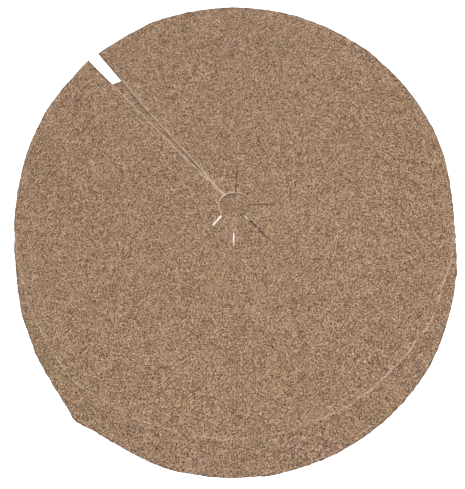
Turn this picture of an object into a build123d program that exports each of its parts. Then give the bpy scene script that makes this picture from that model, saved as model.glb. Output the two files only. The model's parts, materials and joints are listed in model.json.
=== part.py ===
"""Two round coir felt tree mats, the upper one lying on the lower one.

Each mat is a flat sheet with a trunk hole, seven short relief slits and one long entry slit. The sheet
bends where the slits free it, so the upper mat is built as a field, two wings beside the entry slit and
eight tabs round the hole, which meet face to face along straight fold lines.

Frame: millimetres, +Z up, +Y away from the viewer, origin on the ground under the middle of the pair.
"""

from build123d import *
from math import cos, radians, sin
import os

# Driving dimensions of one mat.
mat_radius = 300.0
mat_thickness = 5.0
hole_radius = 20.0
slit_azimuth = 132.5
slit_count = 8
kerf = 2.0

# How far each relief slit reaches from the hole's middle, anticlockwise from the entry slit.
relief_reaches = (61, 51, 60, 66, 54, 52, 57)

# The entry slit opens from the trunk hole to the rim.
upper_slit_gaps = (kerf, 19.5)
lower_slit_gaps = (15.0, 20.0)

# Fold lines of the upper mat, as distances from its trunk hole.
tab_fold = 46.0
wing_fold = 80.0

# A lifted tab leans towards its neighbours at the fold, so its root corners are cut back: by this much
# on each side at the fold, and from this far inside it.
root_relief = 1.1
root_relief_length = 5.0

# Places in the plane: the pair's middle is the origin.
mat_shift = 49.0
upper_hole = Vector(0, mat_shift / 2)
lower_middle = Vector(0, -mat_shift / 2)
lower_hole = lower_middle + Vector(6.5, -4.5)

# The cut outline leaves the circle at one corner, where the cut closes: azimuth and radius of where it
# leaves, a point on the way, the corner, a point on the way back, and where it rejoins.
upper_corner = ((194, 300), (212, 304.5), (229, 310), (236, 305), (243, 300))
lower_corner = ((218, 300), (223.3, 302.5), (228.6, 307.5), (233.6, 302.5), (239, 300))

# The lower mat's rim is trimmed straight beside its entry slit.
trim_azimuth = 114.4
trim_distance = 281.5

# Each tab's share of the turn, and a length that spans the mats.
tab_step = 360 / slit_count
span = 2 * mat_radius


def polar(azimuth, radius, middle=Vector(0, 0)):
    """The point at an azimuth and radius from a middle."""
    turn = radians(azimuth)
    return middle + Vector(radius * cos(turn), radius * sin(turn))


def outline(middle, corner):
    """A mat's face: a circle with one corner in it."""
    leave, before, peak, after, rejoin = [polar(*place, middle) for place in corner]
    far_azimuth = (corner[-1][0] + corner[0][0]) / 2 + 180
    far = polar(far_azimuth, mat_radius, middle)
    edges = [
        ThreePointArc(leave, before, peak),
        ThreePointArc(peak, after, rejoin),
        ThreePointArc(rejoin, far, leave),
    ]
    return make_face(Curve() + edges)


def strip(middle, azimuth, start, end, start_width, end_width):
    """A straight strip along an azimuth, from one width to another."""
    side = polar(azimuth + 90, 1)
    corners = [
        polar(azimuth, start, middle) + side * (start_width / 2),
        polar(azimuth, start, middle) - side * (start_width / 2),
        polar(azimuth, end, middle) - side * (end_width / 2),
        polar(azimuth, end, middle) + side * (end_width / 2),
    ]
    return make_face(Polyline(*corners, close=True))


def beyond(middle, azimuth, distance):
    """The half of the plane further than a distance along an azimuth."""
    return strip(middle, azimuth, distance, distance + span, 2 * span, 2 * span)


def slits(middle, gaps):
    """The entry slit and the relief slits of a mat, as one list of faces."""
    hole_gap, rim_gap = gaps
    growth = (rim_gap - hole_gap) / (mat_radius - hole_radius)
    end_gap = hole_gap + growth * (span - hole_radius)
    entry = strip(middle, slit_azimuth, hole_radius - 1, span, hole_gap, end_gap)
    relief = [
        strip(middle, slit_azimuth + tab_step * place, 0, relief_reach, kerf, kerf)
        for place, relief_reach in enumerate(relief_reaches, start=1)
    ]
    return [entry] + relief


def sheet(face, bottom):
    """A face of the felt, thickened upwards from a height."""
    return extrude(Pos(0, 0, bottom) * face, amount=mat_thickness, dir=(0, 0, 1))


def hole(middle):
    """The trunk hole's disc."""
    return Pos(middle) * Circle(hole_radius)


def make_lower_mat():
    """The whole lower mat, which lies flat under the other."""
    face = outline(lower_middle, lower_corner)
    face -= beyond(lower_middle, trim_azimuth, trim_distance)
    face -= [hole(lower_hole)] + slits(lower_hole, lower_slit_gaps)
    return {"lower_mat": sheet(face, 0)}


def make_field_and_wings():
    """The upper mat without its tabs: the field and the two wings beside the entry slit."""
    tab_ring = Pos(upper_hole) * RegularPolygon(
        tab_fold, slit_count, major_radius=False, rotation=slit_azimuth
    )
    face = outline(upper_hole, upper_corner) - [tab_ring] - slits(upper_hole, upper_slit_gaps)
    wings = face & beyond(upper_hole, slit_azimuth, wing_fold)
    left_side = beyond(upper_hole, slit_azimuth + 90, 0)
    right_side = beyond(upper_hole, slit_azimuth - 90, 0)
    return {
        "upper_field": sheet(face - beyond(upper_hole, slit_azimuth, wing_fold), mat_thickness),
        "upper_wing_left": sheet(wings & left_side, mat_thickness),
        "upper_wing_right": sheet(wings & right_side, mat_thickness),
    }


def make_tab(number):
    """One tab between two slits, from the trunk hole out to its fold line."""
    root = tab_fold / cos(radians(tab_step / 2))
    sides = [slit_azimuth + tab_step * (number - 1), slit_azimuth + tab_step * number]
    corners = [polar(side, root, upper_hole) for side in sides]
    face = make_face(Polyline(upper_hole, *corners, close=True))
    face -= [hole(upper_hole)] + slits(upper_hole, upper_slit_gaps)
    start, end = root - root_relief_length, root + root_relief_length
    root_width = kerf + 4 * root_relief
    relief = [strip(upper_hole, side, start, end, kerf, root_width) for side in sides]
    return sheet(face - relief, mat_thickness)


def make_tabs():
    """The ring of tabs round the upper mat's trunk hole, numbered anticlockwise from the entry slit."""
    return {f"upper_tab_{number}": make_tab(number) for number in range(1, slit_count + 1)}


os.makedirs("parts", exist_ok=True)
for node, solid in {**make_lower_mat(), **make_field_and_wings(), **make_tabs()}.items():
    export_step(solid, f"parts/{node}.step")
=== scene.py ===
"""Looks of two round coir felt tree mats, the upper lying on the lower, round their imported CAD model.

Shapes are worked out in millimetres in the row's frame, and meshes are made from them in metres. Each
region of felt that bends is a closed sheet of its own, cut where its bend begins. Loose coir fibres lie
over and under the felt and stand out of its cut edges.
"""

import json
from math import atan2, cos, degrees, radians, sin, sqrt

import bpy
import numpy as np
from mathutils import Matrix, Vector
from mathutils.geometry import delaunay_2d_cdt


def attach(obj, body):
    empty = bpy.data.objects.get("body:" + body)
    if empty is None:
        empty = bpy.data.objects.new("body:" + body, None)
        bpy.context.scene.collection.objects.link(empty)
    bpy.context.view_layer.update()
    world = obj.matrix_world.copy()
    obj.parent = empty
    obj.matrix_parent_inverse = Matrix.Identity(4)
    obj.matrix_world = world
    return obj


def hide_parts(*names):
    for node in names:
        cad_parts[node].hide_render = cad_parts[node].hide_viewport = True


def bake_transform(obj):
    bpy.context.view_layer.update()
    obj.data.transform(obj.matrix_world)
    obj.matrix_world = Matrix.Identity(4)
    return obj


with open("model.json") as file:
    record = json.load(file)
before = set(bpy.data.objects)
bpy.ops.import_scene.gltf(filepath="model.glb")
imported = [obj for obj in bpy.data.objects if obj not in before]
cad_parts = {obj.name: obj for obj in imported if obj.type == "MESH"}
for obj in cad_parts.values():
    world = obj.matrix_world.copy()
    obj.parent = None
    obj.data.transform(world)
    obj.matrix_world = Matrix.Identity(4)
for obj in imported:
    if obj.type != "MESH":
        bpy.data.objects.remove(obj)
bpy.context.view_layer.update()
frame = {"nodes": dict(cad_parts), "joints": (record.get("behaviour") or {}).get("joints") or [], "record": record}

MM = 0.001
mounts = {mount["name"]: mount for mount in frame["record"]["mounts"]}
joints = {joint["name"]: joint for joint in frame["joints"]}


# ------------------------ places, in millimetres

def plane(point):
    """The x and y of a point of the row, in millimetres."""
    return np.array(point[:2]) / MM


def unit(azimuths):
    """The unit vectors of the plane at azimuths in degrees, or at one of them."""
    turns = np.radians(azimuths)
    return np.stack([np.cos(turns), np.sin(turns)], axis=-1)


def length(vectors):
    """The lengths of vectors of the plane."""
    return np.hypot(vectors[..., 0], vectors[..., 1])


def cross(first, second):
    """The cross products of vectors of the plane."""
    return first[..., 0] * second[..., 1] - first[..., 1] * second[..., 0]


def ramp(values, low, high):
    """0 at low, 1 at high and smooth between them."""
    share = np.clip((values - low) / (high - low), 0, 1)
    return share * share * (3 - 2 * share)


HOLE_RADIUS = mounts["trunk_hole"]["dims"]["r_mm"]
THICKNESS = mounts["trunk_hole"]["dims"]["length_mm"]
UPPER_HOLE = plane(mounts["trunk_hole"]["pos_m"])
LOWER_HOLE = plane(mounts["lower_trunk_hole"]["pos_m"])
WING_OFFSET = plane(joints["left_wing_fold"]["pos_m"]) - UPPER_HOLE
WING_FOLD = float(length(WING_OFFSET))
SLIT_AZIMUTH = degrees(atan2(WING_OFFSET[1], WING_OFFSET[0]))
TAB_FOLD = float(length(plane(joints["tab_1_fold"]["pos_m"]) - UPPER_HOLE))
TAB_COUNT = sum(name.startswith("tab_") for name in joints)
TAB_STEP = 360 / TAB_COUNT

# The relief slits, anticlockwise from the entry slit: each one's reach from the hole's middle, how much
# painted highlight its flanks take, and below 0 how much painted shade, its lean in the upper mat, and its
# gaps in the upper and the lower mat. A lean is a turn in degrees and a distance beside the hole's middle.
RELIEF_SLITS = (
    dict(reach=61, pale=-0.1, lean=(0.1, 0.0), upper=(0.1, 0.3), lower=(1.2, 1.0)),
    dict(reach=51, pale=0.3, lean=(6.1, -4.0), upper=(2.1, 2.0), lower=(1.4, 1.2)),
    dict(reach=60, pale=0.3, lean=(2.5, -1.6), upper=(0.2, 0.3, 2.0), lower=(1.6, 1.2)),
    dict(reach=66, pale=-0.45, lean=(2.7, -1.6), upper=(1.6, 2.0), lower=(1.2, 1.0)),
    dict(reach=54, pale=-0.35, lean=(2.5, 0.7), upper=(0.5, 0.7), lower=(1.2, 1.0)),
    dict(reach=52, pale=-0.05, lean=(-1.8, 0.0), upper=(0.0, 0.1), lower=(3.0, 3.0)),
    dict(reach=57, pale=-0.35, lean=(-1.5, 0.0), upper=(0.4, 0.5), lower=(0.3, 0.3)),
)

# Where along a relief slit its gaps are: at two places, or at three if it stays shut beside the hole.
GAP_PLACES = {2: (HOLE_RADIUS, 38), 3: (HOLE_RADIUS, 37, 42)}
TIP_GAP = 0.3

# The entry slits: distances from the hole's middle and the gaps there. The upper one stays shut for its
# first stretch and bows a little to one side, so its lean has a distance for each gap.
UPPER_ENTRY = dict(
    places=(20, 50, 100, 180, 300),
    gaps=(0.1, 0.2, 4.8, 8.0, 17.4),
    lean=(0.0, (1.1, 1.2, 2.0, 2.3, 0.7)),
)
LOWER_ENTRY = dict(places=(20, 300), gaps=(18.5, 20.0), lean=(0.0, 0.0))

# How far the entry slits reach, past any rim.
ENTRY_REACH = 1000

# The upper mat's trunk hole lies a little squashed, and the lower mat's round.
UPPER_HOLE_AXES = (21.7, 17.3)
LOWER_HOLE_AXES = (HOLE_RADIUS, HOLE_RADIUS)

# Where a rim stands out of its cut line or in from it: azimuth, half width in degrees, and amount. Both
# rims wobble besides, and the upper mat's near rim wobbles more. The fringe is how far loose fibres carry
# the whole rim out.
UPPER_RIM_BUMPS = (
    (2, 9, -2.4), (75, 42, 1.2), (112, 6, 1.2), (124, 5, -0.8), (135, 4, 1.6), (166, 12, -1.2),
    (176, 9, -1.4), (228, 3, 1.5), (245, 7, 4.0), (261, 13, 3.2), (306, 12, -2.0), (320, 8, -1.4),
    (329, 3.5, 1.2), (337, 5, -2.2),
)
LOWER_RIM_BUMPS = (
    (188, 8, -3.7), (203, 7, -2.2), (228, 5, 0.8), (251, 7, 1.2), (327, 9, 1.5), (353, 10, 0.8),
)
RIM_WOBBLE = 0.3
NEAR_RIM_WOBBLE = 1.1
UPPER_FRINGE = 1.1
LOWER_FRINGE = 1.0

# How far apart a mesh's points are: on the upper mat, on the lower one, and on the tabs and fine cuts.
SPACING = 2.4
LOWER_SPACING = 2.6
FINE_SPACING = 1.3

# How far the inner points stray from an even grid, as a share of their spacing.
GRID_JITTER = 0.22

# About how far a rim is from its hole's middle, and where a search for it along a line starts.
RIM_RADIUS = 300
RIM_GUESS = 280

# A corner of the CAD model that is further than this from its hole's middle is on a rim.
INNER_RADIUS = 200

# How many cells wide the lattice under the noise is, before it repeats.
LATTICE = 256


def noise(points, size, seed):
    """Smooth noise from -1 to 1 at points of the plane, with features of a given size."""
    lattice = np.random.default_rng(seed).uniform(-1, 1, (LATTICE, LATTICE))
    at = points / size + 2 * LATTICE
    cell = np.floor(at).astype(int)
    part = at - cell
    part = part * part * (3 - 2 * part)
    x, y = cell[..., 0] % LATTICE, cell[..., 1] % LATTICE
    right, up = (x + 1) % LATTICE, (y + 1) % LATTICE
    low = lattice[x, y] * (1 - part[..., 0]) + lattice[right, y] * part[..., 0]
    high = lattice[x, up] * (1 - part[..., 0]) + lattice[right, up] * part[..., 0]
    return low * (1 - part[..., 1]) + high * part[..., 1]


class Slit:
    """A cut outwards from a trunk hole, with its gaps at several distances from the hole's middle."""

    def __init__(self, number, reach, places, gaps, lean, pale=1.0):
        turn, beside = lean
        self.besides = np.broadcast_to(beside, len(places))
        self.even_azimuth = SLIT_AZIMUTH + TAB_STEP * number
        self.along = unit(self.even_azimuth + turn)
        self.side = unit(self.even_azimuth + turn + 90)
        self.reach = reach
        self.places = places
        self.gaps = gaps
        # How much painted highlight the slit's flanks take, and below 0 how much painted shade.
        self.pale = pale

    def middle(self, distance):
        """How far beside the hole's middle the slit's middle runs, at a distance along it."""
        return np.interp(distance, self.places, self.besides)

    def half_gap(self, distance):
        """Half the slit's width at a distance from the hole's middle."""
        return np.interp(distance, self.places, self.gaps) / 2

    def flank(self, hole, distance, side):
        """The point of the flank on one side, 1 or -1, at a distance along the slit."""
        across = self.middle(distance) + side * self.half_gap(distance)
        return hole + self.along * distance + self.side * across

    def clearance(self, offsets):
        """How far points, given from the hole's middle, are from the slit's flanks or tip."""
        along = offsets @ self.along
        across = np.abs(offsets @ self.side - self.middle(along))
        past_tip = np.maximum(along - self.reach, 0)
        clear = np.hypot(across, past_tip) - self.half_gap(along) * (past_tip == 0)
        return np.where(along < 0, np.inf, clear)


class Mat:
    """One mat: its trunk hole, slits and rim, and the heights of its two faces."""

    def __init__(self, hole, axes, nodes, entry, relief, bumps, fringe, bottom, seed):
        self.hole = hole
        self.axes = np.array(axes)
        self.bumps = bumps
        self.fringe = fringe
        self.bottom = bottom
        self.seed = seed
        self.entry = Slit(0, ENTRY_REACH, **entry)
        self.slits = [self.entry]
        for number, (reach, pale, lean, gaps) in enumerate(relief, start=1):
            places = (*GAP_PLACES[len(gaps)], reach)
            self.slits.append(Slit(number, reach, places, (*gaps, TIP_GAP), lean, pale))
        self.read_rim(nodes)

    def read_rim(self, nodes):
        """Takes the rim's corners, in the order of their azimuths, from the CAD model's nodes."""
        corners = np.concatenate([
            np.array([vertex.co[:2] for vertex in frame["nodes"][node].data.vertices]) / MM
            for node in nodes
        ])
        offsets = np.unique(np.round(corners - self.hole, 1), axis=0)
        offsets = offsets[length(offsets) > INNER_RADIUS]
        azimuths = np.degrees(np.arctan2(offsets[:, 1], offsets[:, 0])) % 360
        order = np.argsort(azimuths)
        order = np.concatenate([order[-1:], order, order[:1]])
        self.rim_points = offsets[order]
        self.rim_azimuths = azimuths[order]
        self.rim_azimuths[0] -= 360
        self.rim_azimuths[-1] += 360

    def rim_radius(self, azimuths):
        """The rim's distance from the hole's middle at azimuths in degrees."""
        azimuths = np.asarray(azimuths) % 360
        index = np.searchsorted(self.rim_azimuths, azimuths, side="right") - 1
        index = np.clip(index, 0, len(self.rim_azimuths) - 2)
        start = self.rim_points[index]
        run = self.rim_points[index + 1] - start
        direction = unit(azimuths)
        radius = cross(start, run) / cross(direction, run) + self.fringe
        near_side = ramp(-direction[..., 1], 0.1, 0.4)
        wobble = noise(RIM_RADIUS * direction, 19, self.seed + 5)
        radius = radius + (RIM_WOBBLE + NEAR_RIM_WOBBLE * near_side * (self.bottom > 0)) * wobble
        for place, half_width, amount in self.bumps:
            apart = (azimuths - place + 180) % 360 - 180
            radius = radius + amount * np.exp(-((apart / half_width) ** 2))
        return radius

    def rim_clearance(self, points):
        """How far points are inside the rim."""
        offsets = points - self.hole
        azimuths = np.degrees(np.arctan2(offsets[..., 1], offsets[..., 0]))
        return self.rim_radius(azimuths) - length(offsets)

    def opening_clearance(self, points):
        """How far points are from the trunk hole and the entry slit."""
        offsets = points - self.hole
        far = np.maximum(length(offsets / self.axes), 1e-6)
        return np.minimum(length(offsets) * (1 - 1 / far), self.entry.clearance(offsets))

    def relief_clearance(self, points):
        """How far points are from the relief slits."""
        offsets = points - self.hole
        return np.min([slit.clearance(offsets) for slit in self.slits[1:]], axis=0)

    def relief_edge_light(self, points):
        """The painted highlight on the relief slits' flanks at points, and painted shade below 0."""
        offsets = points - self.hole
        return sum(
            slit.pale * (1 - ramp(slit.clearance(offsets), 0.2, 1.4)) for slit in self.slits[1:]
        )

    def slit_clearance(self, points):
        """How far points are from the trunk hole and all the slits."""
        return np.minimum(self.opening_clearance(points), self.relief_clearance(points))

    def clearance(self, points):
        """How far points are inside the felt from its nearest cut edge; negative outside it."""
        return np.minimum(self.rim_clearance(points), self.slit_clearance(points))

    def rim_run(self, start, end):
        """Points along the rim from one azimuth up to another, without the last."""
        count = round(radians(end - start) * RIM_RADIUS / SPACING)
        azimuths = start + (end - start) * np.arange(count) / count
        return self.hole + unit(azimuths) * self.rim_radius(azimuths)[:, None]

    def rim_hit(self, point_at):
        """The point where a line, given as a function of distance, meets the rim."""
        distance = RIM_GUESS
        for _ in range(8):
            distance += float(self.rim_clearance(point_at(distance)))
        return point_at(distance)

    def azimuth(self, point):
        """A point's azimuth round the hole, in degrees."""
        offset = point - self.hole
        return degrees(atan2(offset[1], offset[0])) % 360

    def root_corner(self, slit, side):
        """How far along a slit its flank on one side meets the fold line of the tab on that side."""
        tab_middle = unit(slit.even_azimuth + side * TAB_STEP / 2)
        distance = TAB_FOLD
        for _ in range(6):
            depth = float((slit.flank(self.hole, distance, side) - self.hole) @ tab_middle)
            distance += (TAB_FOLD - depth) / float(slit.along @ tab_middle)
        return distance

    def hole_corner(self, slit, side):
        """How far along a slit its flank on one side meets the trunk hole."""
        distance = HOLE_RADIUS
        for _ in range(8):
            offset = slit.flank(self.hole, distance, side) - self.hole
            distance += float(length(offset) * (1 / length(offset / self.axes) - 1))
        return distance

    def hole_point(self, azimuth):
        """The point of the trunk hole's edge at an azimuth."""
        direction = unit(azimuth)
        return self.hole + direction / length(direction / self.axes)


upper = Mat(
    UPPER_HOLE,
    UPPER_HOLE_AXES,
    ("upper_field", "upper_wing_left", "upper_wing_right"),
    UPPER_ENTRY,
    [(slit["reach"], slit["pale"], slit["lean"], slit["upper"]) for slit in RELIEF_SLITS],
    UPPER_RIM_BUMPS,
    UPPER_FRINGE,
    bottom=THICKNESS,
    seed=10,
)
lower = Mat(
    LOWER_HOLE,
    LOWER_HOLE_AXES,
    ("lower_mat",),
    LOWER_ENTRY,
    [(slit["reach"], slit["pale"], (0.0, 0.0), slit["lower"]) for slit in RELIEF_SLITS],
    LOWER_RIM_BUMPS,
    LOWER_FRINGE,
    bottom=0,
    seed=20,
)


# ------------------------ heights of the felt's faces

# How far the upper mat droops past the lower one and a face falls away at a cut edge, and how far the
# upper and the lower faces lie inside the CAD's sheet.
DROOP = 0.7
ROUNDING = 0.8
TOP_SINK = 0.35
BASE_RISE = 0.1


def waves(points):
    """The slow unevenness that both mats share where they lie on each other."""
    return 0.45 * noise(points, 95, 1) + 0.2 * noise(points, 37, 2)


def droop(points):
    """How far the upper mat sinks where it reaches past the lower one."""
    return DROOP * ramp(-lower.rim_clearance(points), -4, 52)


def texture(points, seed):
    """The felt's lumps, as large as its mesh can hold."""
    return 0.16 * noise(points, 6.5, seed) + 0.24 * noise(points, 3.1, seed + 1)


def rounding(clearance):
    """How far a face falls away beside a cut edge."""
    return ROUNDING * (1 - ramp(clearance, -0.4, 1.9))


def top_height(mat, points):
    """The height of a mat's upper face."""
    height = mat.bottom + THICKNESS + waves(points) + texture(points, mat.seed)
    height -= rounding(mat.clearance(points)) + TOP_SINK
    if mat is upper:
        height -= droop(points)
    return height


def base_height(mat, points):
    """The height of a mat's lower face."""
    height = mat.bottom + 0.4 * rounding(mat.clearance(points))
    if mat is upper:
        height += waves(points) + 0.1 * texture(points, 30) - droop(points) + BASE_RISE
    return height


# ------------------------ outlines of the felt's regions

class Outline:
    """A region's closed outline, anticlockwise, built from cut edges and seams."""

    def __init__(self):
        self.points = []
        self.cut = []

    def add(self, points, cut):
        """Adds a stretch of points, on a cut edge or a seam."""
        for point in np.reshape(points, (-1, 2)):
            self.points.append(point)
            self.cut.append(cut)

    def line(self, start, end, spacing, cut):
        """Adds a straight line, on a cut edge or a seam, without its last point."""
        count = max(1, round(float(length(end - start)) / spacing))
        self.add(start + (end - start) * (np.arange(count) / count)[:, None], cut)

    def done(self):
        """The outline as points and, for each, whether it is on a cut edge, clear of any seam's end."""
        cut = np.array(self.cut)
        both = cut & np.roll(cut, 1)
        return np.array(self.points), both.astype(float)


def hole_arc(outline, mat, start_slit, end_slit):
    """Adds the trunk hole's edge clockwise from one slit to another, without its last point."""
    start = start_slit.flank(mat.hole, mat.hole_corner(start_slit, -1), -1)
    end = end_slit.flank(mat.hole, mat.hole_corner(end_slit, 1), 1)
    first, last = mat.azimuth(start), mat.azimuth(end)
    if last > first:
        last -= 360
    count = round(radians(first - last) * HOLE_RADIUS / FINE_SPACING)
    for step in range(count):
        outline.add(mat.hole_point(first + (last - first) * step / count), True)


def flank_line(outline, mat, slit, side, start, end, spacing=FINE_SPACING, skip=0):
    """Adds a slit's flank between two distances, without its last point and the first ones to skip."""
    count = max(1, round(abs(end - start) / spacing))
    distances = start + (end - start) * np.arange(count) / count
    outline.add([slit.flank(mat.hole, distance, side) for distance in distances[skip:]], True)


def tab_outline(number):
    """The outline of one of the upper mat's tabs."""
    first = upper.slits[number - 1]
    last = upper.slits[number % TAB_COUNT]
    first_root = upper.root_corner(first, 1)
    last_root = upper.root_corner(last, -1)
    outline = Outline()
    flank_line(outline, upper, first, 1, upper.hole_corner(first, 1), first_root)
    root_start = first.flank(upper.hole, first_root, 1)
    root_end = last.flank(upper.hole, last_root, -1)
    outline.line(root_start, root_end, FINE_SPACING, False)
    outline.add(root_end, False)
    flank_line(outline, upper, last, -1, last_root, upper.hole_corner(last, -1), skip=1)
    hole_arc(outline, upper, last, first)
    return outline.done()


def fold_end(side):
    """Where the wings' fold line meets the rim on one side of the entry slit."""
    start = UPPER_HOLE + upper.entry.along * WING_FOLD
    return upper.rim_hit(lambda distance: start + upper.entry.side * side * distance)


def fold_start(side):
    """Where the wings' fold line meets a flank of the entry slit."""
    return upper.entry.flank(UPPER_HOLE, WING_FOLD, side)


def rim_corner(mat, side):
    """Where a flank of the entry slit meets the rim."""
    return mat.rim_hit(lambda distance: mat.entry.flank(mat.hole, distance, side))


def field_outline():
    """The outline of the upper mat without its wings and tabs."""
    outline = Outline()
    left, right = fold_end(1), fold_end(-1)
    outline.add(left, False)
    outline.add(upper.rim_run(upper.azimuth(left), upper.azimuth(right) + 360)[1:], True)
    outline.line(right, fold_start(-1), SPACING, False)
    outline.add(fold_start(-1), False)
    for number in range(TAB_COUNT, 0, -1):
        slit = upper.slits[number % TAB_COUNT]
        root = upper.root_corner(slit, -1)
        start, skip = (WING_FOLD, 1) if number == TAB_COUNT else (slit.reach, 0)
        flank_line(outline, upper, slit, -1, start, root, skip=skip)
        previous = upper.slits[number - 1]
        root_end = previous.flank(upper.hole, upper.root_corner(previous, 1), 1)
        outline.line(slit.flank(upper.hole, root, -1), root_end, FINE_SPACING, False)
        outline.add(root_end, False)
        end = WING_FOLD if number == 1 else previous.reach
        flank_line(outline, upper, previous, 1, upper.root_corner(previous, 1), end, skip=1)
        if number > 1:
            tip = upper.hole + previous.along * (previous.reach + TIP_GAP)
            outline.add(previous.flank(upper.hole, previous.reach, 1), True)
            outline.add(tip, True)
    outline.line(fold_start(1), left, SPACING, False)
    return outline.done()


def wing_outline(side):
    """The outline of the wing on one side of the entry slit: 1 is the left one."""
    outline = Outline()
    corner = rim_corner(upper, side)
    reach = float((corner - UPPER_HOLE) @ upper.entry.along)
    if side > 0:
        flank_line(outline, upper, upper.entry, 1, WING_FOLD, reach, SPACING)
        outline.cut[0] = False
        outline.add(upper.rim_run(upper.azimuth(corner), upper.azimuth(fold_end(1))), True)
        outline.line(fold_end(1), fold_start(1), SPACING, False)
    else:
        outline.line(fold_start(-1), fold_end(-1), SPACING, False)
        outline.add(fold_end(-1), False)
        run = upper.rim_run(upper.azimuth(fold_end(-1)), upper.azimuth(corner))
        outline.add(run[1:], True)
        flank_line(outline, upper, upper.entry, -1, reach, WING_FOLD, SPACING)
    return outline.done()


def lower_outline():
    """The outline of the whole lower mat."""
    outline = Outline()
    left, right = rim_corner(lower, 1), rim_corner(lower, -1)
    outline.add(lower.rim_run(lower.azimuth(left), lower.azimuth(right) + 360), True)
    entry = lower.entry
    inner = entry.flank(lower.hole, lower.hole_corner(entry, -1), -1)
    outline.line(right, inner, SPACING, True)
    for number in range(TAB_COUNT, 0, -1):
        slit, previous = lower.slits[number % TAB_COUNT], lower.slits[number - 1]
        hole_arc(outline, lower, slit, previous)
        if number > 1:
            start, end = lower.hole_corner(previous, 1), lower.hole_corner(previous, -1)
            flank_line(outline, lower, previous, 1, start, previous.reach)
            outline.add(lower.hole + previous.along * (previous.reach + TIP_GAP), True)
            flank_line(outline, lower, previous, -1, previous.reach, end)
    outer = entry.flank(lower.hole, lower.hole_corner(entry, 1), 1)
    outline.line(outer, left, SPACING, True)
    return outline.done()


# ------------------------ which region a point is in

def region_of(points):
    """The name of the upper mat's region that holds each point."""
    offsets = points - UPPER_HOLE
    along = offsets @ upper.entry.along
    left = offsets @ upper.entry.side > upper.entry.middle(along)
    turn = (np.degrees(np.arctan2(offsets[..., 1], offsets[..., 0])) - SLIT_AZIMUTH) % 360
    nearest = np.round(turn / TAB_STEP).astype(int) % TAB_COUNT
    beyond = np.stack(
        [offsets @ slit.side > slit.middle(offsets @ slit.along) for slit in upper.slits], axis=-1
    )
    beyond = np.take_along_axis(beyond, nearest[..., None], axis=-1)[..., 0]
    number = np.where(beyond, nearest, nearest - 1) % TAB_COUNT
    depth = (offsets * unit(SLIT_AZIMUTH + TAB_STEP * (number + 0.5))).sum(axis=-1)
    names = np.where(along > WING_FOLD, np.where(left, "left_wing", "right_wing"), "field")
    tab_names = np.array([f"tab_{place + 1}" for place in range(TAB_COUNT)])
    return np.where(depth < TAB_FOLD, tab_names[number], names)


# ------------------------ meshes

def triangulate(outline, inner):
    """Triangles over an outline and inner points, as all the points and rows of three indices."""
    points = np.concatenate([outline, inner])
    count = len(outline)
    edges = [(place, (place + 1) % count) for place in range(count)]
    made = delaunay_2d_cdt([Vector(point) for point in points], edges, [], 1, 1e-6)
    order = [origin[0] for origin in made[3]]
    triangles = np.array([[order[corner] for corner in face] for face in made[2]])
    a, b, c = (points[triangles[:, corner]] for corner in range(3))
    clockwise = cross(b - a, c - a) < 0
    triangles[clockwise] = triangles[clockwise][:, ::-1]
    return points, triangles


def grid_inside(outline, spacing, inside):
    """Points of a jittered triangular grid for which inside says yes."""
    low, high = outline.min(axis=0), outline.max(axis=0)
    row_height = spacing * sqrt(3) / 2
    rows = np.arange(low[1], high[1], row_height)
    columns = np.arange(low[0], high[0], spacing)
    x, y = np.meshgrid(columns, rows)
    x = x + (np.arange(len(rows)) % 2)[:, None] * spacing / 2
    points = np.stack([x.ravel(), y.ravel()], axis=1)
    jitter = np.random.default_rng(5).uniform(-GRID_JITTER, GRID_JITTER, points.shape) * spacing
    points = points + jitter
    return points[inside(points)]


def new_mesh(name, vertices, faces, attributes):
    """A mesh object from vertices in millimetres, with one value or vector per vertex in each attribute."""
    mesh = bpy.data.meshes.new(name)
    mesh.from_pydata((vertices * MM).tolist(), [], faces)
    for key, values in attributes.items():
        kind, field = ("FLOAT_VECTOR", "vector") if values.ndim == 2 else ("FLOAT", "value")
        attribute = mesh.attributes.new(key, kind, "POINT")
        attribute.data.foreach_set(field, values.astype(np.float32).ravel())
    piece = bpy.data.objects.new(name, mesh)
    bpy.context.scene.collection.objects.link(piece)
    return piece


def outward_normals(outline):
    """Unit vectors that point out of an anticlockwise outline."""
    run = np.roll(outline, -1, axis=0) - np.roll(outline, 1, axis=0)
    run = run / np.maximum(length(run), 1e-9)[:, None]
    return np.stack([run[:, 1], -run[:, 0]], axis=1)


# Painted highlight on the cut walls of the trunk hole and the entry slit, over the shade they lie in.
WALL_EDGE_LIGHT = 0.85


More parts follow.
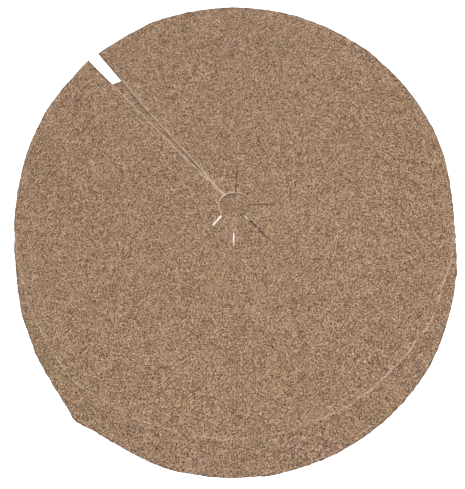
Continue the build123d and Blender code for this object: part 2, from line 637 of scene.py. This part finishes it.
def painted_edge_light(mat, points, wall=False):
    """Painted light along cut edges at points of a face or of its wall: painted highlight up to 1, and painted
    shade below 0.
    """
    offsets = points - mat.hole
    opening_clear, rim_clear = mat.opening_clearance(points), mat.rim_clearance(points)
    on_felt = ramp(lower.rim_clearance(points), -2, 4) * (mat is upper)
    along = offsets @ mat.entry.along
    right_flank = ramp(mat.entry.middle(along) - offsets @ mat.entry.side, -1, 1)
    # Painted highlight on the hole's edge, palest towards the entry slit where it faces the light; the slit's
    # right flank is a little darker, as painted shade.
    lit = 0.62 + 0.34 * along / np.maximum(length(offsets), 1)
    lit = lit - 0.1 * right_flank * ramp(length(offsets), 55, 90)
    if wall:
        lit = WALL_EDGE_LIGHT
    opening = (1 - ramp(opening_clear, 0.3, 1.5)) * lit
    # The painted highlight along the rim comes and goes, and is strongest at the right, towards the light.
    near_right = ramp(offsets[..., 0], 90, 210)
    strength = 0.23 + 0.12 * near_right + 0.3 * noise(points, 12, 45)
    rim = (1 - ramp(rim_clear, 0.2, 3.3)) * np.clip(strength, 0.06, 0.6)
    # Painted shade along the cut edges that are not on the lower mat's felt: the upper mat's beyond the lower one
    # and all of the lower mat's. The painted highlight is kept to where the upper mat lies on the lower one.
    dark = 0.75 * (1 - ramp(np.minimum(opening_clear, rim_clear), 0.3, 2.0))
    edge = on_felt * np.maximum(opening, rim) - (1 - on_felt) * dark
    return edge + mat.relief_edge_light(points)


# Rows of a cut wall from its top to its bottom: share of the height, and how far it bulges outwards.
WALL_ROWS = ((0.82, 0.15), (0.5, 0.25), (0.2, 0.15))

# How far a face's inner points stay from its edges, and how far in the row beside a cut edge lies.
EDGE_MARGIN = 1.9
ROW_MARGIN = 0.5
ROW_INSET = 1.0

# Edges that turn by more degrees than this are shaded sharp.
SHARP_ANGLE = 62


def felt_sheet(name, mat, outline, cut, spacing, inside):
    """A closed sheet of felt over an outline, whose cut walls bulge a little."""
    normals = outward_normals(outline)
    ragged = 0.1 * noise(outline, 2.3, 41) + 0.1 * noise(outline, 7.0, 42) - 0.15
    at_rim = 1 - ramp(mat.rim_clearance(outline), 0.5, 3)
    ragged = ragged + at_rim * (0.5 * noise(outline, 2.6, 43) + 0.55 * noise(outline, 9.0, 44))
    outline = outline + normals * (ragged * cut)[:, None]
    inner_row = outline[cut > 0] - normals[cut > 0] * ROW_INSET
    inner_row = inner_row[mat.clearance(inner_row) > ROW_MARGIN]
    inner_row = inner_row[inside(inner_row, ROW_MARGIN)]
    top_inner = grid_inside(outline, spacing, lambda points: inside(points, EDGE_MARGIN))
    top_points, top_faces = triangulate(outline, np.concatenate([inner_row, top_inner]))
    base_inner = grid_inside(outline, spacing * 2, lambda points: inside(points, EDGE_MARGIN))
    base_points, base_faces = triangulate(outline, base_inner)

    count = len(outline)
    top = np.column_stack([top_points, top_height(mat, top_points)])
    base = np.column_stack([base_points, base_height(mat, base_points)])
    rows = []
    for share, bulge in WALL_ROWS:
        wobble = 1 + 0.6 * noise(outline, 3.0, round(100 * share))
        rim = outline + normals * (bulge * wobble * cut)[:, None]
        height = base[:count, 2] + (top[:count, 2] - base[:count, 2]) * share
        rows.append(np.column_stack([rim, height]))
    vertices = np.concatenate([top, *rows, base])
    starts = [0] + [len(top) + count * row for row in range(len(rows) + 1)]
    faces = top_faces.tolist() + (base_faces[:, ::-1] + starts[-1]).tolist()
    for above, below in zip(starts, starts[1:]):
        for place in range(count):
            after = (place + 1) % count
            faces.append((above + place, below + place, below + after, above + after))

    # Painted highlight and painted shade along the cut edges, kept in the pale attribute for the material.
    pale = np.concatenate([
        painted_edge_light(mat, top_points),
        *[painted_edge_light(mat, outline, wall=True) for _ in rows],
        painted_edge_light(mat, base_points),
    ])
    piece = new_mesh(name, vertices, faces, {"rest": vertices * MM, "pale": pale})
    piece.data.shade_smooth()
    piece.data.set_sharp_from_angle(angle=radians(SHARP_ANGLE))
    return piece


def inside_region(name):
    """A test for points of the upper mat that are in a region, clear of its edges."""
    fold_normals = [(upper.entry.along, WING_FOLD)] + [
        (unit(SLIT_AZIMUTH + TAB_STEP * (place + 0.5)), TAB_FOLD) for place in range(TAB_COUNT)
    ]

    def test(points, margin):
        clear = (region_of(points) == name) & (upper.clearance(points) > margin)
        for normal, distance in fold_normals:
            depth = (points - UPPER_HOLE) @ normal
            near_hole = length(points - UPPER_HOLE) < 2 * TAB_FOLD
            near_fold = (np.abs(depth - distance) < margin * 0.7) & (near_hole | (distance == WING_FOLD))
            clear &= ~near_fold
        return clear

    return test


def inside_lower(points, margin):
    """Which points are in the lower mat, clear of its edges."""
    return lower.clearance(points) > margin


regions = {"field": field_outline(), "left_wing": wing_outline(1), "right_wing": wing_outline(-1)}
for tab_number in range(1, TAB_COUNT + 1):
    regions[f"tab_{tab_number}"] = tab_outline(tab_number)

felt = {}
for region, (region_points, region_cut) in regions.items():
    grain = FINE_SPACING if region.startswith("tab") else SPACING
    felt[region] = felt_sheet(
        f"{region}_felt", upper, region_points, region_cut, grain, inside_region(region)
    )
lower_points, lower_cut = lower_outline()
felt["lower"] = felt_sheet(
    "lower_felt", lower, lower_points, lower_cut, LOWER_SPACING, inside_lower
)


# ------------------------ fibres

FIBRE_POINTS = 8
FIBRES_PER_PIECE = 4400
LYING_LENGTHS = (4, 36)
LYING_RADII = (0.12, 0.30)
EDGE_LENGTHS = (1.2, 6.0)
EDGE_RADII = (0.09, 0.2)

# How many fibres lie over and under each mat, and stand out of its cut edges.
UPPER_FIBRES_OVER = 26000
UPPER_FIBRES_UNDER = 7000
LOWER_FIBRES_OVER = 22000
LOWER_FIBRES_UNDER = 3000
EDGE_FIBRES_PER_POINT = 2.6

# The few thick pale fibres: how many of all, their radius and their tone.
STRAW_SHARE = 0.006
STRAW_RADIUS = 0.30
STRAW_TONE = 0.92

# The fibres that fill a slit: how many, their radius and their tone.
STRAND_COUNT = 9
STRAND_RADIUS = 0.34
STRAND_TONE = 1.0


def spread_over(mat, count, rng):
    """Random points over a mat, evenly spread."""
    azimuths = rng.uniform(0, 360, count)
    radii = mat.rim_radius(azimuths) * np.sqrt(rng.uniform(0, 1, count))
    return mat.hole + unit(azimuths) * radii[:, None]


def curled_lines(starts, headings, lengths, bend, rng):
    """Lines in the plane that leave their starts at headings and curl, as a row of points each."""
    count = len(starts)
    steps = np.linspace(0, 1, FIBRE_POINTS)
    curl = rng.normal(0, bend, count)[:, None] * lengths[:, None]
    swerve = rng.normal(0, 0.7, count)[:, None]
    turns = headings[:, None] + curl * steps + swerve * np.sin(steps * rng.uniform(2, 6, count)[:, None])
    strides = lengths[:, None] / (FIBRE_POINTS - 1)
    moves = np.stack([np.cos(turns), np.sin(turns)], axis=2) * strides[:, :, None]
    moves[:, 0] = 0
    return starts[:, None, :] + np.cumsum(moves, axis=1)


def lying_fibres(mat, count, over, seed):
    """Fibres lying on a mat's upper face, or under it, as centre lines, radii and tones."""
    rng = np.random.default_rng(seed)
    starts = spread_over(mat, count, rng)
    lengths = np.clip(rng.lognormal(2.2, 0.5, count), *LYING_LENGTHS)
    lines = curled_lines(starts, rng.uniform(0, 2 * np.pi, count), lengths, 0.07, rng)
    slit_clear = mat.slit_clearance(lines).min(axis=1)
    rim_clear = mat.rim_clearance(lines).min(axis=1)
    kept = (slit_clear > 0.2) & (rim_clear > -1.4)
    lines = lines[kept]
    count = len(lines)
    radii = rng.uniform(*LYING_RADII, count)
    arch = np.sin(np.linspace(0, np.pi, FIBRE_POINTS))[None, :] ** 0.6
    lift = rng.gamma(2.0, 0.16, count)[:, None]
    loose_end = (rng.random(count) < 0.06)[:, None] * rng.uniform(0.4, 2.0, count)[:, None]
    rise = radii[:, None] * 0.2 - 0.35 + (lift + 0.4) * arch
    rise = rise + loose_end * np.linspace(0, 1, FIBRE_POINTS)[None, :] ** 2
    if over:
        heights = top_height(mat, lines) + rise
    else:
        heights = base_height(mat, lines) - 0.5 * np.minimum(rise, 0.5)
    tones = np.clip(rng.normal(0.47, 0.25, count), 0, 0.9)
    straw = rng.random(count) < STRAW_SHARE
    radii = np.where(straw, STRAW_RADIUS, radii)
    tones = np.where(straw, STRAW_TONE, tones)
    return np.concatenate([lines, heights[:, :, None]], axis=2), radii, tones


def strands_in_slit(mat, number, start, end, seed):
    """Pale fibres that fill a stretch of a slit, as centre lines, radii and tones."""
    rng = np.random.default_rng(seed)
    slit = mat.slits[number]
    count = STRAND_COUNT
    along = rng.uniform(start, start + 2, count)[:, None] + np.linspace(0, end - start, FIBRE_POINTS)
    across = slit.middle(along) + rng.uniform(-0.35, 0.35, count)[:, None]
    across = across + rng.normal(0, 0.08, (count, FIBRE_POINTS))
    lines = mat.hole + slit.along * along[..., None] + slit.side * across[..., None]
    heights = mat.bottom + THICKNESS - rng.uniform(0.3, 1.1, count)[:, None] + np.zeros_like(along)
    radii, tones = np.full(count, STRAND_RADIUS), np.full(count, STRAND_TONE)
    return np.concatenate([lines, heights[:, :, None]], axis=2), radii, tones


def edge_fibres(mat, outline, cut, seed):
    """Short fibres that stand out of a cut wall, as centre lines, radii and tones."""
    rng = np.random.default_rng(seed)
    normals = outward_normals(outline)
    places = np.flatnonzero(cut > 0)
    places = rng.choice(places, round(len(places) * EDGE_FIBRES_PER_POINT))
    starts = outline[places] - normals[places] * 0.8
    jitter = rng.uniform(-1, 1, (len(places), 1)) * SPACING / 2
    starts = starts + np.stack([-normals[places][:, 1], normals[places][:, 0]], axis=1) * jitter
    room = mat.slit_clearance(outline[places] + normals[places] * 1.2)
    lengths = np.clip(rng.lognormal(0.85, 0.45, len(places)), *EDGE_LENGTHS)
    lengths = np.where(room > -0.9, np.minimum(lengths, 1.6), lengths)
    lean = rng.normal(0, 0.75, len(places))
    headings = np.arctan2(normals[places][:, 1], normals[places][:, 0]) + lean
    lines = curled_lines(starts, headings, lengths, 0.12, rng)
    share = rng.uniform(0.06, 0.97, len(places))[:, None]
    low, high = base_height(mat, starts), top_height(mat, starts)
    heights = low[:, None] + (high - low)[:, None] * share
    slope = rng.normal(0, 0.12, len(places))
    heights = heights + slope[:, None] * lengths[:, None] * np.linspace(0, 1, FIBRE_POINTS)
    heights = np.maximum(heights, base_height(mat, starts)[:, None] + 0.15)
    radii = rng.uniform(*EDGE_RADII, len(places))
    # Fibres at a cut edge take on its painted highlight and painted shade in their tone.
    tones = np.clip(0.45 + 0.5 * painted_edge_light(mat, starts) + rng.normal(0, 0.15, len(places)), 0, 1)
    return np.concatenate([lines, heights[:, :, None]], axis=2), radii, tones


def fibre_piece(name, lines, radii, tones):
    """Fibres as closed three-sided tubes that thin out at both ends, in one mesh."""
    count = len(lines)
    run = np.gradient(lines, axis=1)
    side = np.stack([-run[..., 1], run[..., 0], np.zeros_like(run[..., 0])], axis=2)
    side /= np.maximum(np.linalg.norm(side, axis=2, keepdims=True), 1e-9)
    thickness = radii[:, None] * (0.45 + 0.55 * np.sin(np.linspace(0.15, np.pi - 0.15, FIBRE_POINTS)))
    rings = []
    for corner in range(3):
        angle = radians(90 + 120 * corner)
        offset = side * cos(angle) + np.array([0, 0, 1]) * sin(angle)
        rings.append(lines + offset * thickness[..., None])
    vertices = np.stack(rings, axis=2).reshape(-1, 3)
    per_fibre = 3 * FIBRE_POINTS
    faces = []
    for ring in range(FIBRE_POINTS - 1):
        for corner in range(3):
            here, there = 3 * ring + corner, 3 * ring + (corner + 1) % 3
            faces.append([here, there, there + 3, here + 3])
    first_vertices = (np.arange(count) * per_fibre)[:, None, None]
    quads = np.array(faces)[None] + first_vertices
    caps = np.array([[2, 1, 0], [per_fibre - 3, per_fibre - 2, per_fibre - 1]])
    caps = caps[None] + first_vertices
    all_faces = quads.reshape(-1, 4).tolist() + caps.reshape(-1, 3).tolist()
    tone = np.repeat(tones, per_fibre)
    piece = new_mesh(name, vertices, all_faces, {"tone": tone})
    piece.data.shade_smooth()
    return piece


def chunks(name, lines, radii, tones):
    """The fibres as pieces that each hold only so many of them."""
    count = -(-len(lines) // FIBRES_PER_PIECE)
    pieces = []
    for number in range(count):
        part = slice(number, None, count)
        label = f"{name}_{number + 1}" if count > 1 else name
        pieces.append(fibre_piece(label, lines[part], radii[part], tones[part]))
    return pieces


def joined(groups):
    """Several groups of fibres as one."""
    return tuple(np.concatenate(parts) for parts in zip(*groups))


upper_lying = joined([
    lying_fibres(upper, UPPER_FIBRES_OVER, True, 61),
    lying_fibres(upper, UPPER_FIBRES_UNDER, False, 62),
])
lower_lying = joined([
    lying_fibres(lower, LOWER_FIBRES_OVER, True, 63),
    lying_fibres(lower, LOWER_FIBRES_UNDER, False, 64),
])

# A fibre on the upper mat belongs to the first tab that it reaches, or else to the region of its middle.
fibres = {}
extra = {"tab_5": [strands_in_slit(upper, 4, 19, 28, 65)]}
owners = region_of(upper_lying[0][..., :2])
in_tab = np.char.startswith(owners, "tab")
owner = np.where(
    in_tab.any(axis=1),
    owners[np.arange(len(owners)), in_tab.argmax(axis=1)],
    region_of(upper_lying[0][..., :2].mean(axis=1)),
)
for region, (region_points, region_cut) in regions.items():
    own = owner == region
    edge = edge_fibres(upper, region_points, region_cut, 70 + len(fibres))
    group = joined([[part[own] for part in upper_lying], edge, *extra.get(region, [])])
    fibres[region] = chunks(f"{region}_fibres", *group)
lower_edge = edge_fibres(lower, lower_points, lower_cut, 90)
fibres["lower"] = chunks("lower_fibres", *joined([lower_lying, lower_edge]))


# ------------------------ materials

def feed(tree, node, inputs):
    """Gives a node's inputs, by name or place, the sockets or values that they take."""
    for key, value in inputs.items():
        if isinstance(value, bpy.types.NodeSocket):
            tree.links.new(node.inputs[key], value)
        else:
            node.inputs[key].default_value = value


def shader(name, roughness, sheen):
    """A new material, its node tree and its principled shader."""
    material = bpy.data.materials.new(name)
    material.use_nodes = True
    tree = material.node_tree
    principled = tree.nodes["Principled BSDF"]
    feed(tree, principled, {"Roughness": roughness, "Specular IOR Level": 0.25, "Sheen Weight": sheen})
    return material, tree, principled


def add_node(tree, kind, settings=(), **inputs):
    """A new node with its settings and its inputs' sockets or values."""
    made = tree.nodes.new(kind)
    for key, value in dict(settings).items():
        setattr(made, key, value)
    feed(tree, made, inputs)
    return made


def colour_ramp(tree, source, stops):
    """A ramp from a value to a colour, by stops of position and colour."""
    made = add_node(tree, "ShaderNodeValToRGB", Fac=source)
    elements = made.color_ramp.elements
    while len(elements) < len(stops):
        elements.new(0.5)
    for element, (position, colour) in zip(elements, stops):
        element.position = position
        element.color = (*colour, 1)
    return made.outputs["Color"]


def mix_colour(tree, factor, first, second, blend="MIX"):
    """Two colours mixed; the factor and each colour may be a socket or a value."""
    made = add_node(tree, "ShaderNodeMix", {"data_type": "RGBA", "blend_type": blend})
    feed(tree, made, {0: factor, 6: first, 7: second})
    return made.outputs[2]


def arithmetic(tree, operation, first, second):
    """Two values combined; each may be a socket or a number."""
    made = add_node(tree, "ShaderNodeMath", {"operation": operation})
    feed(tree, made, {0: first, 1: second})
    return made.outputs[0]


def strands(tree, place, size, width, seed):
    """Thin winding strands, 1 on a strand and 0 between, that curl over a given size in millimetres."""
    field = add_node(
        tree, "ShaderNodeTexNoise", {"noise_dimensions": "4D"},
        Vector=place, Scale=1 / (size * MM), Detail=1.0, W=seed,
    )
    from_middle = arithmetic(tree, "SUBTRACT", field.outputs["Fac"], 0.5)
    line = add_node(
        tree, "ShaderNodeMapRange", {"interpolation_type": "SMOOTHSTEP"},
        Value=arithmetic(tree, "ABSOLUTE", from_middle, 0.0),
        **{"From Min": 0.0, "From Max": width, "To Min": 1.0, "To Max": 0.0},
    )
    return line.outputs[0]


def noise_value(tree, place, size, detail, rough=0.5, swirl=0.0):
    """Smooth noise from 0 to 1 with features of a given size in millimetres, drawn out into swirls."""
    made = add_node(
        tree, "ShaderNodeTexNoise",
        Vector=place, Scale=1 / (size * MM), Detail=detail, Roughness=rough, Distortion=swirl,
    )
    return made.outputs["Fac"]


# Colours of the felt from its pores to its brightest lumps, of its strands, of the painted highlight and the
# painted shade along its cut edges, and of the loose fibres by their tone; then the slow drift and the tints that
# multiply the felt's colour.
DARK_PORE = (0.052, 0.021, 0.007)
SHADE = (0.172, 0.087, 0.038)
COIR = (0.325, 0.183, 0.100)
LIGHT_COIR = (0.62, 0.42, 0.288)
STRAW = (0.86, 0.62, 0.42, 1)
DARK_STRAND = (0.045, 0.021, 0.009, 1)
EDGE_HIGHLIGHT = (0.95, 0.74, 0.60, 1)
EDGE_SHADE = (0.10, 0.055, 0.032, 1)
FIBRE_TONES = (
    (0.0, (0.065, 0.026, 0.009)), (0.4, (0.275, 0.15, 0.078)), (0.7, (0.43, 0.278, 0.175)),
    (0.9, (0.75, 0.57, 0.42)), (1.0, (0.96, 0.87, 0.76)),
)
COOL_DRIFT = (0.985, 1.0, 0.955)
WARM_DRIFT = (1.01, 0.993, 1.03)
UPPER_TINT = (0.99, 0.965, 0.94)
LOWER_TINT = (0.95, 0.925, 0.92)

# How much a strand hides of the felt's colour, and how high the felt's fine relief is, in millimetres.
STRAND_COVER = 0.6
FELT_RELIEF = 1.1


def felt_material(name, tint):
    """Needled coir felt: mottled browns, winding strands and pores, with painted highlight and painted shade along
    cut edges.
    """
    material, tree, principled = shader(name, 0.9, 0.08)
    place = add_node(tree, "ShaderNodeAttribute", {"attribute_name": "rest"}).outputs["Vector"]
    fine = noise_value(tree, place, 1.6, 1.0, rough=0.3, swirl=0.8)
    base = colour_ramp(tree, fine, (
        (0.41, DARK_PORE), (0.465, SHADE), (0.51, COIR), (0.57, LIGHT_COIR),
    ))
    light = strands(tree, place, 1.7, 0.075, 1.3)
    dark = strands(tree, place, 1.6, 0.070, 7.7)
    coloured = mix_colour(tree, arithmetic(tree, "MULTIPLY", dark, STRAND_COVER), base, DARK_STRAND)
    coloured = mix_colour(tree, arithmetic(tree, "MULTIPLY", light, STRAND_COVER), coloured, STRAW)
    drift = noise_value(tree, place, 55, 2.0)
    drifting = colour_ramp(tree, drift, ((0.36, COOL_DRIFT), (0.64, WARM_DRIFT)))
    tinted = mix_colour(tree, 1.0, coloured, drifting, "MULTIPLY")
    tinted = mix_colour(tree, 1.0, tinted, (*tint, 1), "MULTIPLY")
    # The pale attribute paints highlight along cut edges above 0 and paints shade below 0.
    pale = add_node(tree, "ShaderNodeAttribute", {"attribute_name": "pale"}).outputs["Fac"]
    highlight_share = arithmetic(tree, "MULTIPLY", pale, arithmetic(tree, "ADD", fine, 0.5))
    shade_share = arithmetic(tree, "MULTIPLY", pale, -1.0)
    final = mix_colour(tree, highlight_share, tinted, EDGE_HIGHLIGHT)
    final = mix_colour(tree, shade_share, final, EDGE_SHADE)
    relief = arithmetic(tree, "ADD", fine, arithmetic(tree, "MULTIPLY", light, 0.4))
    relief = arithmetic(tree, "SUBTRACT", relief, arithmetic(tree, "MULTIPLY", dark, 0.3))
    bump = add_node(tree, "ShaderNodeBump", Height=relief, Strength=0.9, Distance=FELT_RELIEF * MM)
    feed(tree, principled, {"Base Color": final, "Normal": bump.outputs["Normal"]})
    return material


def fibre_material():
    """Loose coir fibres, from dark brown to pale straw."""
    material, tree, principled = shader("coir_fibre", 0.62, 0.05)
    tone = add_node(tree, "ShaderNodeAttribute", {"attribute_name": "tone"}).outputs["Fac"]
    feed(tree, principled, {"Base Color": colour_ramp(tree, tone, FIBRE_TONES)})
    return material


upper_felt = felt_material("upper_coir_felt", UPPER_TINT)
lower_felt = felt_material("lower_coir_felt", LOWER_TINT)
loose_fibre = fibre_material()


# ------------------------ how the pieces ride

def dress(piece, region, material):
    """Gives a piece its material; the lower mat's and the field's pieces move with their mat, and the others stay
    where they are made.
    """
    piece.data.materials.append(material)
    if region == "lower":
        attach(piece, "lower_mat")
        return
    if region == "field":
        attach(piece, "upper_mat")
        return
    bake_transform(piece)


# The CAD node that each region's felt stands for.
NODES = {"lower": "lower_mat", "field": "upper_field"}
NODES |= {"left_wing": "upper_wing_left", "right_wing": "upper_wing_right"}
NODES |= {f"tab_{number}": f"upper_tab_{number}" for number in range(1, TAB_COUNT + 1)}


for region, sheet in felt.items():
    dress(sheet, region, lower_felt if region == "lower" else upper_felt)
    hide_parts(NODES[region])
    for piece in fibres[region]:
        dress(piece, region, loose_fibre)


# ------------------------ floor, light and camera

# Sizes of the stage, in metres.
FLOOR_SIZE = 60
FLOOR_DROP = 0.0006
BACKDROP_RADIUS = 25


def white_glow(name, strength):
    """A white material that is lit from within."""
    material, tree, principled = shader(name, 0.9, 0.0)
    feed(tree, principled, {
        "Base Color": (0.9, 0.9, 0.9, 1),
        "Emission Color": (1, 1, 1, 1),
        "Emission Strength": strength,
    })
    return material


def make_floor():
    """A plain white floor just under the lower mat, lit from within so that it takes no shadow."""
    bpy.ops.mesh.primitive_plane_add(size=FLOOR_SIZE, location=(0, 0, -FLOOR_DROP))
    floor = bpy.context.object
    floor.name = "floor"
    floor.data.materials.append(white_glow("pale_floor", 0.9))


def make_backdrop():
    """A white dome round everything, which hides the horizon and neither lights nor shades the mats."""
    bpy.ops.mesh.primitive_uv_sphere_add(radius=BACKDROP_RADIUS, segments=96, ring_count=48)
    dome = bpy.context.object
    dome.name = "backdrop"
    dome.visible_diffuse = False
    dome.visible_glossy = False
    dome.visible_transmission = False
    dome.visible_shadow = False
    dome.data.materials.append(white_glow("white_backdrop", 1.0))


def make_light():
    """Soft even daylight, with a little more from above the near right."""
    world = bpy.data.worlds.new("studio")
    bpy.context.scene.world = world
    world.use_nodes = True
    background = world.node_tree.nodes["Background"]
    background.inputs["Strength"].default_value = 0.335
    background.inputs["Color"].default_value = (1, 1, 1, 1)
    lamp = bpy.data.lights.new("softbox", "AREA")
    lamp.size = 1.2
    lamp.energy = 44.7
    softbox = bpy.data.objects.new("softbox", lamp)
    bpy.context.scene.collection.objects.link(softbox)
    softbox.location = (0.3, -0.12, 2.0)
    softbox.rotation_euler = (-softbox.location).to_track_quat("-Z", "Y").to_euler()


def make_camera():
    """A hand-held camera above the near side of the mats, tipped a little towards their far side."""
    data = bpy.data.cameras.new("camera")
    data.lens = 32.77
    camera = bpy.data.objects.new("camera", data)
    bpy.context.scene.collection.objects.link(camera)
    camera.location = (-0.0045, -0.1314, 0.600)
    camera.rotation_euler = (radians(9.69), radians(-0.09), radians(-0.17))
    bpy.context.scene.camera = camera


make_floor()
make_backdrop()
make_light()
make_camera()
bpy.context.scene.view_settings.view_transform = "Standard"
